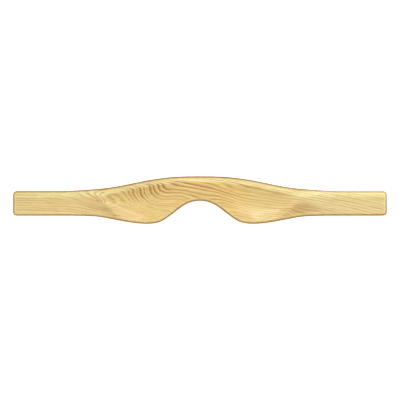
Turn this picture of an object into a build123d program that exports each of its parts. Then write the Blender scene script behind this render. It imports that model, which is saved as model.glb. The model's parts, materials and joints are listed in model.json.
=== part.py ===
"""Carrying yoke for a canoe: one ash plank, sawn to its outline and carved for the shoulders.

X runs along the yoke, +Y points to its arched back edge and +Z up, out of the carved side.
The neck notch opens towards -Y. The yoke lies on its flat back, and the origin is the middle
of its bounding box at that level. Sizes are in millimetres and slopes in degrees.
"""

import os
from math import acos, cos, pi, radians, sin, tan

from build123d import *

# the plank and its two straight bars
LENGTH = 914.4
BAR_WIDTH = 60.4
BAR_THICKNESS = 19.0
BAR_START = 345.0  # from the middle to where the carving has ended
CORNER_RADIUS = 8.5  # of the bars' ends, seen from above
PLANK_THICKNESS = 34.0

# the outline: how far each point lies from the middle, and from the bars' centre line
ARCH = [(0, 66.7), (75, 64.1), (146, 53.2), (198, 42.6), (246, 36.0), (290, 32.6)]
FRONT = [(61, -21.0), (75, -31.7), (98, -45.5), (129, -50.3), (172, -46.6), (215, -38.9)]
NECK_WOOD = 60.6  # between the arch and the bottom of the notch

# the back: flat under the middle, then lifted to the bars' undersides
BELLY_HALF = 165.0
RELIEF_RADIUS = 420.0

# the carved side: a dish for each shoulder, between bevels that run out to the edges
DISH_END = 255.0  # from the middle to the ridge where both crests meet
RIDGE_FROM_BACK = 23.5
RIDGE_WIDTH = 7.0
BACK_BEVEL = 14.6
BACK_BEVEL_SLOPES = 5.0, 38.0  # at the crest, and where it meets the sawn edge
FRONT_BEVEL = 6.0
FRONT_BEVEL_SLOPE = 22.0
BAR_LAND = 36.0  # width of the bar's top that no bevel touches
NECK_DROP = 8.2  # from the back crest down to the edge of the notch
NECK_SLOPE = 13.0  # of the wood that the neck leans on
DISH_BACK_SLOPE = 28.0
DISH_FRONT_SLOPE = 26.0
DISH_FULLNESS = 0.4  # share of the dish's width over which each slope holds

EDGE_ROUND = 5.0  # routed round the carved side
BACK_ROUND = 6.0  # and round the back

STATION_GAP = 15.0  # between the sections that the carving follows
OVERCUT = 30.0  # how far the cutting tools reach past the wood


def ease(x, start, end):
    """0 up to start, 1 from end on, and a smooth rise between them."""
    share = min(1.0, max(0.0, (x - start) / (end - start)))
    return (1 - cos(pi * share)) / 2


def between(low, high, share):
    return low + (high - low) * share


def back_edge():
    """The outline's arched edge, from the middle to where the bar starts."""
    return Spline(*ARCH, (BAR_START, BAR_WIDTH / 2), tangents=[(1, 0), (1, 0)])


def front_edge():
    """The outline's other edge, from the bottom of the notch to where the bar starts."""
    notch = (0, ARCH[0][1] - NECK_WOOD)
    return Spline(notch, *FRONT, (BAR_START, -BAR_WIDTH / 2), tangents=[(1, 0), (1, 0)])


def height_of(edge, x):
    """Where an edge of the outline is, x from the middle."""
    low, high = 0.0, 1.0
    while high - low > 1e-9:
        share = (low + high) / 2
        low, high = (share, high) if (edge @ share).X < x else (low, share)
    return (edge @ low).Y


def plank():
    """The outline, sawn out of the plank, with its ends' corners rounded."""
    half_bar, end = BAR_WIDTH / 2, LENGTH / 2
    back, front = back_edge(), front_edge()
    half = [
        back,
        Line((BAR_START, half_bar), (end, half_bar)),
        Line((end, half_bar), (end, -half_bar)),
        Line((end, -half_bar), (BAR_START, -half_bar)),
        front,
    ]
    face = make_face(half + [edge.mirror(Plane.YZ) for edge in half])
    corners = [v for v in face.vertices() if abs(v.X) > end - 1]
    return extrude(fillet(corners, CORNER_RADIUS), PLANK_THICKNESS + OVERCUT)


def carving_section(x, edges):
    """The outline of the wood that is carved away at one place along the yoke."""
    top, ceiling, reach = PLANK_THICKNESS, PLANK_THICKNESS + 2 * OVERCUT, ARCH[0][1] + OVERCUT
    away = abs(x)
    back, front = (height_of(edge, away) for edge in edges)
    ridge = height_of(edges[0], DISH_END) - RIDGE_FROM_BACK

    # both crests run together to the ridge, and part again along the bar
    if away < DISH_END:
        back_crest = between(
            back - BACK_BEVEL, ridge + RIDGE_WIDTH / 2, ease(away, DISH_END - 40, DISH_END)
        )
        front_crest = between(
            front + FRONT_BEVEL, ridge - RIDGE_WIDTH / 2, ease(away, DISH_END - 105, DISH_END) ** 2.5
        )
    else:
        share = ease(away, DISH_END, BAR_START)
        back_crest = between(ridge + RIDGE_WIDTH / 2, BAR_LAND / 2, share)
        front_crest = between(ridge - RIDGE_WIDTH / 2, -BAR_LAND / 2, share)

    bevel_share = 1 - ease(away, DISH_END - 45, BAR_START)
    crest_fall, edge_fall = (tan(radians(slope * bevel_share)) for slope in BACK_BEVEL_SLOPES)
    front_bevel = FRONT_BEVEL_SLOPE * (1 - ease(away, DISH_END - 70, BAR_START))
    drop = NECK_DROP * (1 - ease(away, 40, DISH_END - 20))
    back_slope = between(NECK_SLOPE, DISH_BACK_SLOPE, ease(away, 0, 120))
    back_slope *= 1 - ease(away, DISH_END - 60, DISH_END)
    front_slope = between(-NECK_SLOPE, DISH_FRONT_SLOPE, ease(away, 20, DISH_END - 45))
    front_slope *= 1 - ease(away, DISH_END - 45, DISH_END)

    width = back_crest - front_crest
    handle = DISH_FULLNESS * width
    dish = Bezier(
        (x, back_crest, top),
        (x, back_crest - handle, top - handle * tan(radians(back_slope))),
        (x, front_crest + handle, top - drop - handle * tan(radians(front_slope))),
        (x, front_crest, top - drop),
    )
    past = reach - back_crest
    rolling = (edge_fall - crest_fall) / (2 * BACK_BEVEL)
    back_bevel = Bezier(
        (x, reach, top - crest_fall * past - rolling * past**2),
        (x, back_crest + past / 2, top - crest_fall * past / 2),
        (x, back_crest, top),
    )
    front_low = top - drop - (reach + front_crest) * tan(radians(front_bevel))
    return Wire(
        [
            back_bevel,
            dish,
            Line((x, front_crest, top - drop), (x, -reach, front_low)),
            Line((x, -reach, front_low), (x, -reach, ceiling)),
            Line((x, -reach, ceiling), (x, reach, ceiling)),
            Line((x, reach, ceiling), back_bevel @ 0),
        ]
    )


def carving():
    """All that is carved off the plank's upper side."""
    edges = back_edge(), front_edge()
    gaps = round(BAR_START / STATION_GAP)
    places = [BAR_START * i / gaps for i in range(-gaps, gaps + 1)]
    middle = Solid.make_loft([carving_section(x, edges) for x in places])
    reach = ARCH[0][1] + OVERCUT
    bar = LENGTH / 2 + OVERCUT - BAR_START
    over_bar = Box(bar, 2 * reach, 2 * OVERCUT, align=(Align.MIN, Align.CENTER, Align.MIN))
    over_bar = Pos(BAR_START, 0, PLANK_THICKNESS) * over_bar
    return [middle, over_bar, over_bar.mirror(Plane.YZ)]


def relief():
    """What is taken off the back so that both bars lie higher than the belly."""
    lift = PLANK_THICKNESS - BAR_THICKNESS
    turn = acos(1 - lift / (2 * RELIEF_RADIUS))  # of each arc
    half_rise = RELIEF_RADIUS * sin(turn)
    half_turn = turn / 2
    dip = RELIEF_RADIUS * (1 - cos(half_turn))
    start, middle = BELLY_HALF, BELLY_HALF + half_rise
    outer = LENGTH / 2 + OVERCUT
    first = ThreePointArc(
        (start, 0),
        (start + RELIEF_RADIUS * sin(half_turn), dip),
        (middle, lift / 2),
    )
    second = ThreePointArc(
        (middle, lift / 2),
        (middle + half_rise - RELIEF_RADIUS * sin(half_turn), lift - dip),
        (middle + half_rise, lift),
    )
    rest = Polyline(
        (middle + half_rise, lift), (outer, lift), (outer, -OVERCUT), (start, -OVERCUT), (start, 0)
    )
    side = Plane.XZ * make_face([first, second, rest])
    tool = extrude(side, ARCH[0][1] + OVERCUT, both=True)
    return [tool, tool.mirror(Plane.YZ)]


def rim(body, faces):
    """The edges where the given faces meet the sawn sides of the plank."""
    sides = [f for f in body.faces() if abs(f.normal_at().Z) < 0.01]
    side_edges = ShapeList(e for f in sides for e in f.edges())
    return [e for f in faces for e in f.edges() if any(e.is_same(s) for s in side_edges)]


def yoke():
    """The finished yoke, moved so that its bounding box stands centred on the origin."""
    body = plank() - carving() - relief()
    upper = [f for f in body.faces() if f.normal_at().Z > 0.1]
    body = fillet(rim(body, upper), EDGE_ROUND)
    lower = [f for f in body.faces() if f.normal_at().Z < -0.1]
    body = fillet(rim(body, lower), BACK_ROUND)
    box = body.bounding_box()
    return Pos(-box.center().X, -box.center().Y, -box.min.Z) * body


def main():
    os.makedirs("parts", exist_ok=True)
    export_step(yoke(), "parts/carrying_yoke.step")


main()
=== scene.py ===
import json
import bpy
from mathutils.kdtree import KDTree
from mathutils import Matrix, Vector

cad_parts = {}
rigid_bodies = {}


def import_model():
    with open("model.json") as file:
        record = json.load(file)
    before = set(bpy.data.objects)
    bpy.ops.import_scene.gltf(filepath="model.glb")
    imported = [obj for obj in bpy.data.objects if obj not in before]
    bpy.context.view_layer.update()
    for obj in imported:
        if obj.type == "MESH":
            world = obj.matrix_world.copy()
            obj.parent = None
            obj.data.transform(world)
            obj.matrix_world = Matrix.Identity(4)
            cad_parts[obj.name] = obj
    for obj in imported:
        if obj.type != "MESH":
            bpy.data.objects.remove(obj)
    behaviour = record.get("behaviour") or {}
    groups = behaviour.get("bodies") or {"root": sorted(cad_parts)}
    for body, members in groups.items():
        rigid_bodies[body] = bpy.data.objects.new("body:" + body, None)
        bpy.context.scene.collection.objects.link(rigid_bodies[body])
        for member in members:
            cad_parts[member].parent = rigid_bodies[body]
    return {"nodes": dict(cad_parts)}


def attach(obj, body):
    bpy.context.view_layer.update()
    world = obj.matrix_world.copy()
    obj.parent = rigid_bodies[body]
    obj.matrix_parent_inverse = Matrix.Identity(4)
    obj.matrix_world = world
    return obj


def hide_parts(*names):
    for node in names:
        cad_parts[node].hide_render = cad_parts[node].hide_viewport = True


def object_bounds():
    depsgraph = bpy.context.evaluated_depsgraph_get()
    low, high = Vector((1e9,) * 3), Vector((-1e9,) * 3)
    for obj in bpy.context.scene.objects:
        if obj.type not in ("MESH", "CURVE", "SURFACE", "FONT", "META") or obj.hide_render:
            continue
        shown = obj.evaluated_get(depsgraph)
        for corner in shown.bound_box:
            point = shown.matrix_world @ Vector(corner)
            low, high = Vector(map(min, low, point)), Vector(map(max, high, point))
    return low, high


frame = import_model()
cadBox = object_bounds()
print("frame loaded")

mm = 0.001


class Sock:
    # wraps one node socket, so that shader maths can be written as plain expressions

    tree = None  # the node tree being built

    def __init__(self, socket):
        self.socket = socket

    @classmethod
    def node(cls, kind, settings=None, inputs=None, out=0):
        made = cls.tree.nodes.new(kind)
        for name, value in (settings or {}).items():
            setattr(made, name, value)
        for key, value in (inputs or {}).items():
            if isinstance(value, Sock):
                cls.tree.links.new(value.socket, made.inputs[key])
            else:
                made.inputs[key].default_value = value
        return cls(made.outputs[out])

    @classmethod
    def maths(cls, operation, *values, clamp=False):
        settings = {"operation": operation, "use_clamp": clamp}
        return cls.node("ShaderNodeMath", settings, dict(enumerate(values)))

    def __add__(self, other):
        return self.maths("ADD", self, other)

    def __radd__(self, other):
        return self.maths("ADD", other, self)

    def __sub__(self, other):
        return self.maths("SUBTRACT", self, other)

    def __rsub__(self, other):
        return self.maths("SUBTRACT", other, self)

    def __mul__(self, other):
        return self.maths("MULTIPLY", self, other)

    def __rmul__(self, other):
        return self.maths("MULTIPLY", other, self)

    def __truediv__(self, other):
        return self.maths("DIVIDE", self, other)

    def __rtruediv__(self, other):
        return self.maths("DIVIDE", other, self)

    def __neg__(self):
        return self.maths("MULTIPLY", self, -1.0)

    def smooth(self, low, high):
        # 0 below low, 1 above high, and a soft rise between them
        settings = {"interpolation_type": "SMOOTHSTEP"}
        inputs = {0: self, 1: low, 2: high, 3: 0.0, 4: 1.0}  # the value, then from and to
        return self.node("ShaderNodeMapRange", settings, inputs)


def mixColour(share, first, second):
    inputs = {0: share, 6: first, 7: second}  # the factor and both colours
    return Sock.node("ShaderNodeMix", {"data_type": "RGBA"}, inputs, out=2)


def rgb(red, green, blue):
    # a display colour, 0 to 255, as the linear colour that a shader takes
    def linear(value):
        value /= 255
        return value / 12.92 if value <= 0.04045 else ((value + 0.055) / 1.055) ** 2.4
    return (linear(red), linear(green), linear(blue), 1.0)


def newMaterial(name):
    material = bpy.data.materials.new(name)
    material.use_nodes = True
    material.node_tree.nodes.clear()
    Sock.tree = material.node_tree
    return material


def finishTree(shader, kind="ShaderNodeOutputMaterial"):
    output = Sock.tree.nodes.new(kind)
    Sock.tree.links.new(shader.socket, output.inputs[0])


def split(vector):
    # the x, y and z of a vector
    made = Sock.node("ShaderNodeSeparateXYZ", {}, {0: vector}).socket.node
    return [Sock(output) for output in made.outputs]


def noise(layer, *place):
    # about -1 to 1, and one feature wide for each unit after scaling
    x, y, z = (value * scale for value, scale in zip(place, layer["scale"]))
    if "shift" in layer:
        x = x + layer["shift"]
    inputs = {
        "Vector": Sock.node("ShaderNodeCombineXYZ", {}, {0: x, 1: y, 2: z}),
        "Scale": 1.0,
        "Detail": layer["detail"],
        "Roughness": layer.get("roughness", 0.5),
    }
    return Sock.node("ShaderNodeTexNoise", {}, inputs) * 2.0 - 1.0


ash = {  # places and lengths in mm, from the middle of the yoke
    # how fast the years' rings are crossed: the plank is nearly flat sawn
    "ringWidth": 2.6,  # between two years' growth
    "acrossY": 0.42,  # going back
    "acrossZ": -0.86,  # going up, in the middle
    "acrossZLeft": -0.40,
    "acrossZRight": -0.22,  # where the rings stand steeper
    "leftTurn": (-260.0, -140.0),  # between these the left's slope becomes the middle's
    "rightTurn": (30.0, 200.0),  # and between these the middle's becomes the right's
    "level": 26.0,  # the height about which the rings turn
    "slant": 0.055,  # going right
    "slantGrowth": 0.00005,
    "swell": (-205.0, -75.0),  # the rings sink between these
    "swellDepth": 17.0,

    # waves of the rings: scales are features per mm, each way
    "slowWave": {"scale": (0.006, 0.022, 0.022), "detail": 1.0},
    "slowDepth": 1.6,
    "quickWave": {"scale": (0.016, 0.07, 0.07), "shift": 7.0, "detail": 2.0},
    "quickDepth": 0.5,
    "yearWave": {"scale": (0.22, 0.0008, 1.0), "detail": 3.0},  # wide and narrow years
    "yearSlice": 3.0,  # which slice of that noise is used
    "yearDepth": 1.9,

    # a branch once pushed the rings up in a tongue, which starts at its eye
    "eye": (-258.0, 1.0),
    "eyeSlope": (0.943, -0.333),  # the way the tongue runs
    "eyeReach": (145.0, 30.0),  # along the tongue and across it
    "eyeRound": 0.002,  # takes the point off its peak
    "eyeDepth": 18.0,

    # each year starts with a porous band, which fades into dense pale wood
    "bandRise": (0.0, 0.12),  # shares of the year
    "bandFade": (0.12, 0.85),
    "weakestYear": 0.3,
    "boldFrom": (-340.0, -240.0),  # the figure gets bolder between these
    "boldTo": (40.0, 140.0),  # and fainter again
    "boldBelow": (-46.0, -14.0),  # from the painted highlight's line behind the back crest: where it is faint and bold
    "boldness": 0.85,  # added to the faintest
    "faintest": 0.6,
    "fade": {"scale": (0.012, 0.05, 0.05), "shift": 40.0, "detail": 2.0},
    "unevenness": 0.7,

    # fibres run along the plank, and sink a little to the right as the rings do
    "fibreSlant": 0.13,
    "fibreRise": -0.6,
    "fibres": {"scale": (0.010, 0.45, 0.5), "detail": 4.0, "roughness": 0.65},
    "dashes": {"scale": (0.045, 0.75, 1.1), "detail": 2.0, "roughness": 0.55},
    "hairs": {"scale": (0.09, 2.6, 3.0), "detail": 2.0, "roughness": 0.6},
    "poresFrom": (0.2, 0.55),  # of the hairs
    "poresOutside": 0.25,  # how strong they are outside the porous bands

    # the plank's tone: honey in the middle, and paler towards both ends, the right more than the
    # left
    "honey": rgb(248, 210, 112),
    "pale": rgb(240, 221, 156),
    "drift": {"scale": (0.008, 0.02, 1.0), "shift": 20.0, "detail": 2.0},
    "driftSlice": 5.0,
    "driftAmount": 0.3,
    "paleMiddle": 0.2,
    "paleRight": (40.0, 330.0),
    "paleRightAmount": 0.6,
    "paleLeft": (60.0, 330.0),
    "paleLeftAmount": 0.3,
    # painted highlight: the back bevel behind the crest line faces the light, so it is painted
    # paler
    "paintedHighlight": rgb(255, 246, 166),
    "paintedHighlightLine": (43.0, 0.00062, 7.0),  # how far back in the middle, its fall, and at the bars
    "paintedHighlightWaver": 3.0,
    "paintedHighlightEdge": (-3.0, 4.0),
    "paintedHighlightAmount": 0.85,

    # stripes over that tone
    "tan": rgb(219, 183, 116),
    "tanFrom": (-0.1, 0.5),  # of the fibres
    "tanAmount": 0.9,
    "paleFrom": (0.0, 0.5),  # of the fibres' other side
    "paleAmount": 0.8,
    "porous": rgb(176, 112, 30),
    "porousAmount": 0.85,
    "dashesFrom": (0.08, 0.5),
    "dashesAmount": 0.42,
    "pore": rgb(150, 90, 26),
    "poreAmount": 0.4,

    # brown flecks along the right half's front rim, and a patch past its ridge: brown grain mixed
    # with painted shade on that front bevel, which faces away from the light
    "fleckAndShade": rgb(188, 134, 56),
    "shadedFlecksBefore": (12.0, 30.0),  # towards the front
    "shadedFlecksRight": (70.0, 130.0),
    "shadedFlecksRim": (2.0, 9.0),  # from the rim
    "shadedFlecksFrom": (-0.25, 0.25),  # of the dashes
    "shadedFlecksAmount": 0.75,
    "patch": (258.0, -21.0),
    "patchReach": (42.0, 15.0),
    "patchEdge": (0.1, 1.3),  # shares of that reach, squared
    "patchAmount": 0.45,
    "patchUnevenness": 0.5,

    # painted shade darkens the rounded rim, a painted orange shade lies a little further in, and a
    # painted highlight pales the wood just inside it
    "rimName": "millimetresFromRim",
    "rimWaver": 0.5,
    "rimHighlightFrom": (2.5, 4.5),
    "rimHighlightTo": (4.5, 9.0),
    "rimHighlightAmount": 0.4,
    "rimOrangeShade": rgb(228, 172, 70),
    "rimOrangeShadeTo": (1.5, 5.0),
    "rimOrangeShadeAmount": 0.6,
    "rim": rgb(146, 92, 26),
    "rimShadeTo": (0.3, 2.6),
    "rimShadeAmount": 0.85,
    "flatSidesShade": 0.4,  # the painted rim shade is weaker on the flat sides than on the round
    "roundFrom": (0.05, 0.45),  # a normal's upright part, from the flat sides to the round
    "litRimRight": (120.0, 430.0),  # painted light: the painted rim shade is weaker at the back of the right bar, where the light falls
    "litRimBack": (-26.0, 10.0),
    "litRimAmount": 0.55,

    # the surface
    "bump": 0.25,
    "bumpHeight": 0.15,
    "bandHeight": -0.35,  # shares of the bump's height
    "poreDepth": 0.8,
    "fibreHeight": 0.12,
    "roughness": 0.42,
    "bandRoughness": 0.08,
    "poreRoughness": 0.1,
    "coat": 0.5,
    "coatFrom": (0.0, 2.0),  # from the rim, which has none
    "coatRoughness": 0.20,
    "ior": 1.5,
}


def ringDepth(x, y, z):
    # how far into the tree a point was, in mm
    turn = ash["acrossZ"] - ash["acrossZLeft"]
    tilt = x.smooth(*ash["leftTurn"]) * turn + ash["acrossZLeft"]
    tilt = tilt + x.smooth(*ash["rightTurn"]) * (ash["acrossZRight"] - ash["acrossZ"])
    depth = y * ash["acrossY"] + (z - ash["level"]) * tilt
    depth = depth + x * ash["slant"] + x * x * ash["slantGrowth"]

    eyeX, eyeY = ash["eye"]
    slopeX, slopeY = ash["eyeSlope"]
    reachAlong, reachAcross = ash["eyeReach"]
    along = ((x - eyeX) * slopeX + (y - eyeY) * slopeY) / reachAlong
    across = ((y - eyeY) * slopeX - (x - eyeX) * slopeY) / reachAcross
    away = Sock.maths("SQRT", along * along + across * across + ash["eyeRound"])
    push = Sock.maths("MAXIMUM", 1.0 - away, 0.0)
    depth = depth + push * push * ash["eyeDepth"]
    depth = depth + x.smooth(*ash["swell"]) * ash["swellDepth"]

    slow = noise(ash["slowWave"], x, y, z) * ash["slowDepth"]
    quick = noise(ash["quickWave"], x, y, z) * ash["quickDepth"]
    depth = depth + slow + quick
    return depth + noise(ash["yearWave"], depth, x, ash["yearSlice"]) * ash["yearDepth"]


def porousBand(depth):
    # 1 in the porous start of each year, and how strong that year's is
    years = depth / ash["ringWidth"]
    share = Sock.maths("FRACT", years)
    year = {"W": Sock.maths("FLOOR", years)}
    strength = Sock.node("ShaderNodeTexWhiteNoise", {"noise_dimensions": "1D"}, year)
    band = share.smooth(*ash["bandRise"]) * (1.0 - share.smooth(*ash["bandFade"]))
    return band, ash["weakestYear"] + strength * (1.0 - ash["weakestYear"])


def plankTone(x, y, behind, fibres):
    drift = noise(ash["drift"], x, y, ash["driftSlice"])
    paleness = x.smooth(*ash["paleRight"]) * ash["paleRightAmount"]
    paleness = paleness + (-x).smooth(*ash["paleLeft"]) * ash["paleLeftAmount"]
    paleness = paleness + drift * ash["driftAmount"]
    paleness = Sock.maths("ADD", paleness, ash["paleMiddle"], clamp=True)
    tone = mixColour(paleness, ash["honey"], ash["pale"])
    # painted highlight on the back bevel behind the crest line, which faces the light
    paintedHighlight = (behind + drift * ash["paintedHighlightWaver"]).smooth(*ash["paintedHighlightEdge"])
    tone = mixColour(paintedHighlight * ash["paintedHighlightAmount"], tone, ash["paintedHighlight"])
    tone = mixColour(fibres.smooth(*ash["tanFrom"]) * ash["tanAmount"], tone, ash["tan"])
    return mixColour((-fibres).smooth(*ash["paleFrom"]) * ash["paleAmount"], tone, ash["pale"])


def brownMarksAndShade(x, y, rim, dashes, fibres):
    # how strong the brown flecks and the painted shade of the patch are, 0 to 1
    front = (-y).smooth(*ash["shadedFlecksBefore"]) * x.smooth(*ash["shadedFlecksRight"])
    front = front * (1.0 - rim.smooth(*ash["shadedFlecksRim"]))
    shadedFlecks = front * dashes.smooth(*ash["shadedFlecksFrom"]) * ash["shadedFlecksAmount"]
    patchX, patchY = ash["patch"]
    reachX, reachY = ash["patchReach"]
    along = (x - patchX) / reachX
    across = (y - patchY) / reachY
    patch = 1.0 - (along * along + across * across).smooth(*ash["patchEdge"])
    patch = patch * (ash["patchAmount"] + fibres * ash["patchUnevenness"])
    return Sock.maths("MAXIMUM", shadedFlecks, patch, clamp=True)


def paintRimShade(colour, x, y, rim):
    # painted highlight just inside the rim
    rimHighlight = rim.smooth(*ash["rimHighlightFrom"]) * (1.0 - rim.smooth(*ash["rimHighlightTo"]))
    colour = mixColour(rimHighlight * ash["rimHighlightAmount"], colour, ash["paintedHighlight"])
    # painted orange shade near the rim
    glow = (1.0 - rim.smooth(*ash["rimOrangeShadeTo"])) * ash["rimOrangeShadeAmount"]
    colour = mixColour(glow, colour, ash["rimOrangeShade"])
    normal = Sock.node("ShaderNodeNewGeometry", out=1)  # Normal
    upright = Sock.maths("ABSOLUTE", split(normal)[2])
    rounded = ash["flatSidesShade"] + upright.smooth(*ash["roundFrom"]) * (1.0 - ash["flatSidesShade"])
    # painted light: less painted shade at the back of the right bar, where the light falls
    litRim = x.smooth(*ash["litRimRight"]) * y.smooth(*ash["litRimBack"])
    amount = ash["rimShadeAmount"] - litRim * ash["litRimAmount"]
    # painted shade on the rim, stronger where it is round
    rimShadeMask = (1.0 - rim.smooth(*ash["rimShadeTo"])) * amount * rounded
    return mixColour(rimShadeMask, colour, ash["rim"])


def ashMaterial():
    material = newMaterial("oiledAsh")
    place = Sock.node("ShaderNodeTexCoord", out=3)  # Object
    x, y, z = (part / mm for part in split(place))
    depth = ringDepth(x, y, z)
    band, strength = porousBand(depth)
    run = y + x * ash["fibreSlant"] + (z - ash["level"]) * ash["fibreRise"]
    fibres = noise(ash["fibres"], x, run, depth)
    dashes = noise(ash["dashes"], x, run, depth)
    hairs = noise(ash["hairs"], x, run, depth)
    fade = noise(ash["fade"], x, y, z)

    lineMiddle, lineFall, lineBars = ash["paintedHighlightLine"]
    behind = y - Sock.maths("MAXIMUM", lineMiddle - x * x * lineFall, lineBars)
    bold = behind.smooth(*ash["boldBelow"]) * x.smooth(*ash["boldFrom"])
    bold = bold * (1.0 - x.smooth(*ash["boldTo"])) * ash["boldness"] + ash["faintest"]
    uneven = 1.0 + fibres * ash["unevenness"] + fade * ash["unevenness"]
    porous = bold * band * strength * uneven
    pores = ash["poresOutside"] + band * (1.0 - ash["poresOutside"])
    pores = hairs.smooth(*ash["poresFrom"]) * pores

    colour = plankTone(x, y, behind, fibres)
    porous = Sock.maths("MULTIPLY", porous, ash["porousAmount"], clamp=True)
    colour = mixColour(porous, colour, ash["porous"])
    dashed = dashes.smooth(*ash["dashesFrom"]) * ash["dashesAmount"]
    colour = mixColour(dashed, colour, ash["porous"])
    colour = mixColour(pores * ash["poreAmount"], colour, ash["pore"])
    rim = Sock.node("ShaderNodeAttribute", {"attribute_name": ash["rimName"]}, out=2)  # Fac
    rim = rim + fibres * ash["rimWaver"]
    # brown flecks and painted shade on the right half's front bevel
    colour = mixColour(brownMarksAndShade(x, y, rim, dashes, fibres), colour, ash["fleckAndShade"])
    colour = paintRimShade(colour, x, y, rim)

    height = band * ash["bandHeight"] - pores * ash["poreDepth"] + fibres * ash["fibreHeight"]
    bump = {"Strength": ash["bump"], "Distance": ash["bumpHeight"] * mm, "Height": height}
    roughness = ash["roughness"] + band * ash["bandRoughness"] + pores * ash["poreRoughness"]
    finishTree(Sock.node("ShaderNodeBsdfPrincipled", {}, {
        "Base Color": colour,
        "Roughness": roughness,
        "Normal": Sock.node("ShaderNodeBump", {}, bump),
        "Coat Weight": rim.smooth(*ash["coatFrom"]) * ash["coat"],
        "Coat Roughness": ash["coatRoughness"],
        "IOR": ash["ior"],
    }))
    return material


yoke = {
    "node": "carrying_yoke",
    "merge": 0.01 * mm,
    "voxel": 1.5 * mm,
    "smoothing": 0.5,  # how far each pass of sanding moves a point to the middle of its neighbours
    "passes": 5,  # all over
    "crestPasses": 16,  # more on the broad faces, which softens their crests
    "broadFrom": 0.7,  # a normal's upright part, where those passes begin to act
    "broadRise": 0.15,  # and how much more gives them their whole strength
    "steepFrom": 0.8,  # a normal's upright part is less than this on the rim
}


def deselectAll():
    for item in bpy.data.objects:
        item.select_set(False)


def sand(piece, passes, group=""):
    sanding = piece.modifiers.new("sanding", "SMOOTH")
    sanding.factor = yoke["smoothing"]
    sanding.iterations = passes
    sanding.vertex_group = group
    bpy.ops.object.modifier_apply(modifier=sanding.name)


def sandCrests(piece):
    broad = piece.vertex_groups.new(name="broadFaces")
    for vertex in piece.data.vertices:
        level = (abs(vertex.normal.z) - yoke["broadFrom"]) / yoke["broadRise"]
        broad.add([vertex.index], min(1.0, max(0.0, level)), "REPLACE")
    sand(piece, yoke["crestPasses"], broad.name)
    piece.vertex_groups.clear()


def markRim(piece):
    # how far each point is from the rounded rim, for the painted shade and highlight there
    points = piece.data.vertices
    steep = [point.co for point in points if abs(point.normal.z) < yoke["steepFrom"]]
    tree = KDTree(len(steep))
    for number, place in enumerate(steep):
        tree.insert(place, number)
    tree.balance()
    away = [tree.find(point.co)[2] / mm for point in points]
    marks = piece.data.attributes.new(ash["rimName"], "FLOAT", "POINT")
    marks.data.foreach_set("value", away)


def makeYoke():
    source = frame["nodes"][yoke["node"]]
    deselectAll()
    piece = source.copy()
    piece.data = source.data.copy()
    piece.name = "carvedYoke"
    bpy.context.collection.objects.link(piece)
    piece.parent = None
    piece.select_set(True)
    bpy.context.view_layer.objects.active = piece

    bpy.ops.object.mode_set(mode="EDIT")
    bpy.ops.mesh.select_all(action="SELECT")
    bpy.ops.mesh.remove_doubles(threshold=yoke["merge"])
    bpy.ops.object.mode_set(mode="OBJECT")

    remesh = piece.modifiers.new("evenSkin", "REMESH")
    remesh.mode = "VOXEL"
    remesh.voxel_size = yoke["voxel"]
    bpy.ops.object.modifier_apply(modifier=remesh.name)
    sand(piece, yoke["passes"])
    sandCrests(piece)
    markRim(piece)
    bpy.ops.object.shade_smooth()

    piece.data.materials.clear()
    piece.data.materials.append(ashMaterial())
    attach(piece, "root")
    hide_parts(yoke["node"])
    print("yoke sanded:", len(piece.data.polygons), "faces")


studio = {
    "floorSize": 12.0,  # m
    "floorColour": (0.86, 0.86, 0.86, 1.0),
    "floorGlow": 0.78,  # added where the camera or a reflection sees the floor
    "worldColour": (1.0, 1.0, 1.0, 1.0),
    "worldStrength": 0.36,  # on the wood, and 1 where the camera or a reflection sees the room
    "lens": 85.0,  # mm
    "viewWidth": 0.976,  # m, what the camera sees at the yoke's top
    "sensor": 36.0,  # mm
}

lamps = [  # name, place and size in m, power in W
    ("keyLamp", (0.55, 1.10, 1.25), (1.8, 0.6), 5.6),
    ("fillLamp", (-0.5, -0.4, 1.85), (1.4, 1.4), 6.6),
    ("stripLamp", (0.40, 0.58, 1.65), (1.9, 0.10), 11.5),
]


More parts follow.
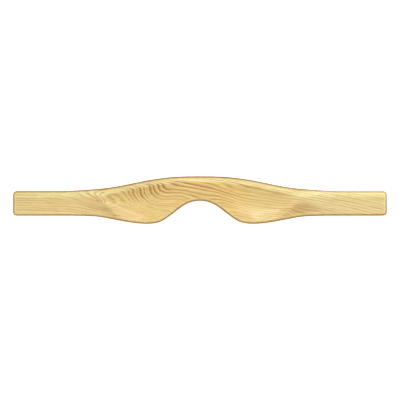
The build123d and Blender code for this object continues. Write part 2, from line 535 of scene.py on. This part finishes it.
def seenDirectly():
    # 1 for what the camera or a reflection sees, and 0 for light on the wood
    rays = Sock.node("ShaderNodeLightPath").socket.node.outputs
    seen = Sock.maths("MAXIMUM", Sock(rays["Is Camera Ray"]), Sock(rays["Is Glossy Ray"]))
    return Sock.maths("MAXIMUM", seen, Sock(rays["Is Transmission Ray"]))


def makeFloor():
    deselectAll()
    bpy.ops.mesh.primitive_plane_add(size=studio["floorSize"], location=(0, 0, 0))
    floor = bpy.context.object
    floor.name = "floor"
    floor.data.materials.append(newMaterial("paleFloor"))
    matte = Sock.node("ShaderNodeBsdfDiffuse", {}, {"Color": studio["floorColour"]})
    glow = Sock.node("ShaderNodeEmission", {}, {"Strength": seenDirectly() * studio["floorGlow"]})
    finishTree(Sock.node("ShaderNodeAddShader", {}, {0: matte, 1: glow}))


def makeLamps():
    for name, place, size, power in lamps:
        light = bpy.data.lights.new(name, "AREA")
        light.shape = "RECTANGLE"
        light.size, light.size_y = size
        light.energy = power
        lamp = bpy.data.objects.new(name, light)
        bpy.context.collection.objects.link(lamp)
        lamp.location = place
        lamp.rotation_euler = (-lamp.location).to_track_quat("-Z", "Y").to_euler()


def makeWorld():
    world = bpy.data.worlds.new("softRoom")
    world.use_nodes = True
    world.node_tree.nodes.clear()
    Sock.tree = world.node_tree
    strength = seenDirectly() * (1.0 - studio["worldStrength"]) + studio["worldStrength"]
    inputs = {"Color": studio["worldColour"], "Strength": strength}
    finishTree(Sock.node("ShaderNodeBackground", {}, inputs), "ShaderNodeOutputWorld")
    bpy.context.scene.world = world


def makeCamera():
    low, high = cadBox
    data = bpy.data.cameras.new("camera")
    data.lens = studio["lens"]
    data.sensor_width = studio["sensor"]
    away = studio["viewWidth"] * studio["lens"] / studio["sensor"]
    camera = bpy.data.objects.new("camera", data)
    bpy.context.collection.objects.link(camera)
    camera.location = ((low[0] + high[0]) / 2, (low[1] + high[1]) / 2, high[2] + away)
    bpy.context.scene.camera = camera


makeYoke()
makeFloor()
makeLamps()
makeWorld()
makeCamera()
bpy.context.scene.view_settings.view_transform = "Standard"
print("studio ready")
